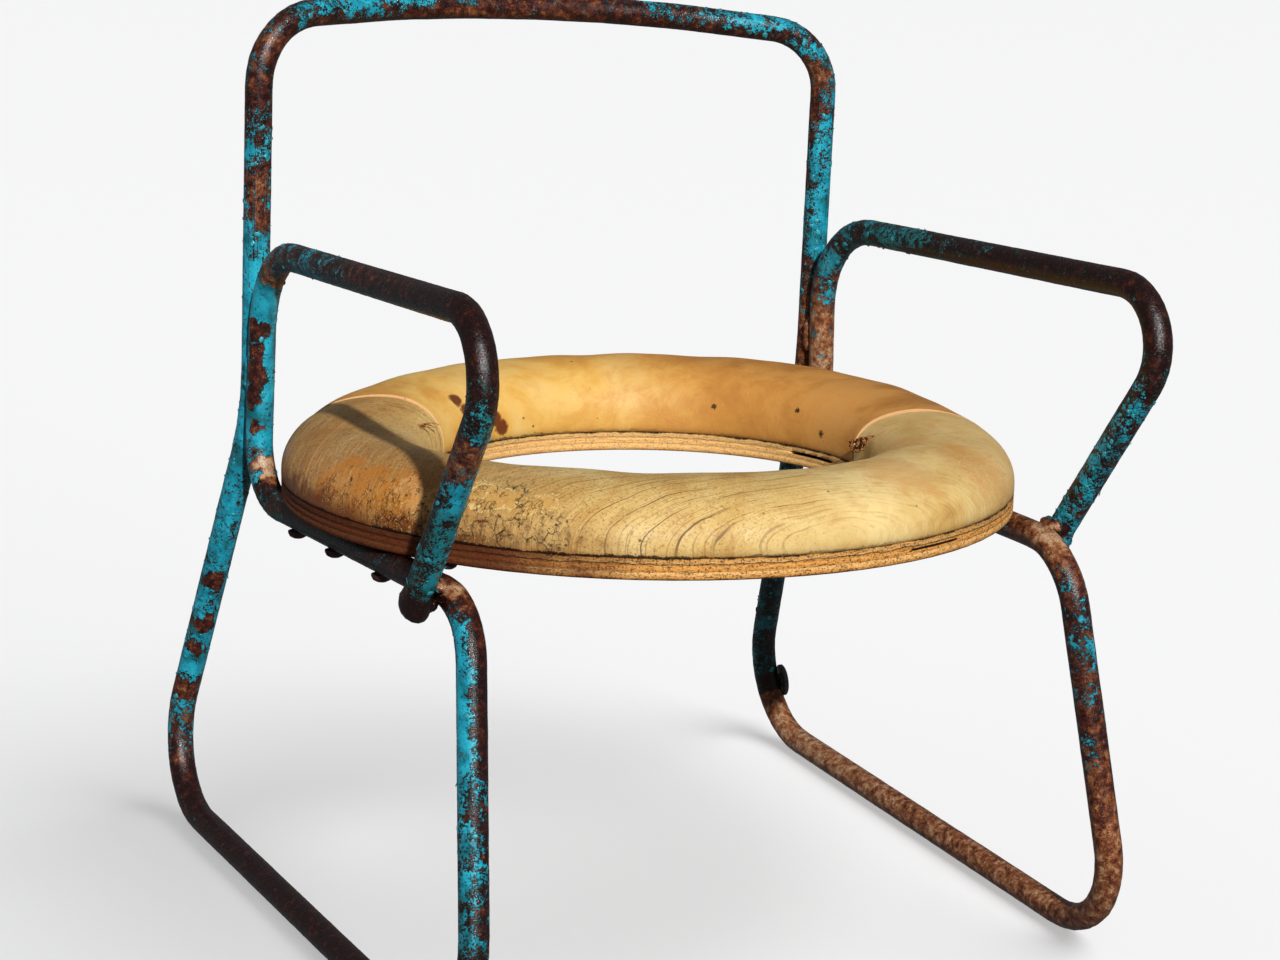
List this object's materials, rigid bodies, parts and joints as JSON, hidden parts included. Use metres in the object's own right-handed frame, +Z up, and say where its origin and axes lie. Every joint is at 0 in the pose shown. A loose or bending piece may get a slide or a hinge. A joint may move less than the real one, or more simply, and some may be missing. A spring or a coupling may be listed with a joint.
{
  "type": "ring-seat tubular chair",
  "caption": "Low steel-tube armchair with a round wooden ring seat, sled runners and a bowed open back, in peeling paint and rust.",
  "frame": {"origin": "centre of the footprint on the floor, midway between the sides and between front and back", "axes": "+X to the sitter's left, +Y from the front to the back, +Z up; the runners stand on Z = 0"},
  "size_m": [0.4455, 0.4358, 0.5145],
  "materials": {
    "peeling_paint": "turquoise paint flaking off brown rust",
    "grimy_plywood": "bare, grimy plywood edge",
    "varnished_wood": "worn amber varnish, stained and cracked",
    "rusty_fixings": "rusted over",
    "dull_disc": "dull grey"
  },
  "bodies": {
    "root": {"frame_tube": "peeling_paint", "seat_base_ring": "grimy_plywood", "seat_plank_front": "varnished_wood", "seat_plank_back": "varnished_wood", "rail_bolt_left_1": "rusty_fixings", "rail_bolt_left_2": "rusty_fixings", "rail_bolt_left_3": "rusty_fixings", "rail_bolt_right_1": "rusty_fixings", "rail_bolt_right_2": "rusty_fixings", "rail_bolt_right_3": "rusty_fixings", "rim_screw_left": "rusty_fixings", "rim_screw_right": "rusty_fixings", "leg_disc": "dull_disc"}
  },
  "joints": []
}
